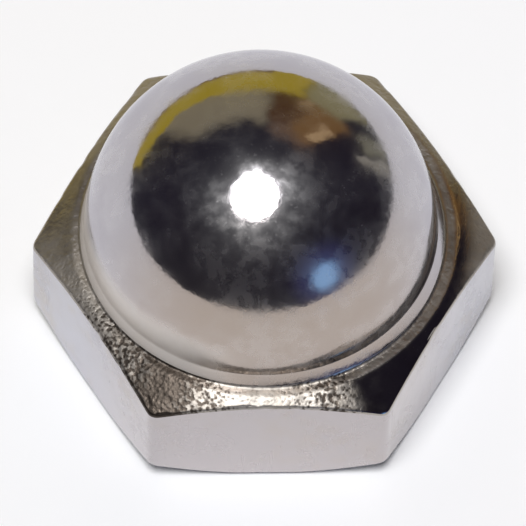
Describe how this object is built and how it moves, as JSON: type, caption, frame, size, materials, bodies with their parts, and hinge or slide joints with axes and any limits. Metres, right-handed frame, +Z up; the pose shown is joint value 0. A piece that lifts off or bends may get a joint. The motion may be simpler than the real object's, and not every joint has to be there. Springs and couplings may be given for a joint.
{
  "type": "cap nut",
  "caption": "Domed cap nut with a chamfered hexagon, a narrow shoulder and a blind tapped hole that covers the end of a threaded stud.",
  "frame": {"origin": "centre of the bearing face, on the axis of the thread", "axes": "+Z up the axis of the thread from the bearing face to the top of the dome, X through two opposite corners of the hexagon, Y square to two opposite flats"},
  "size_m": [0.0194, 0.017, 0.0135],
  "materials": {
    "cap_nut": "bright plated, polished on the dome, pitted on the shoulder, satin on the flats"
  },
  "bodies": {
    "root": {"cap_nut": "cap_nut"}
  },
  "joints": []
}
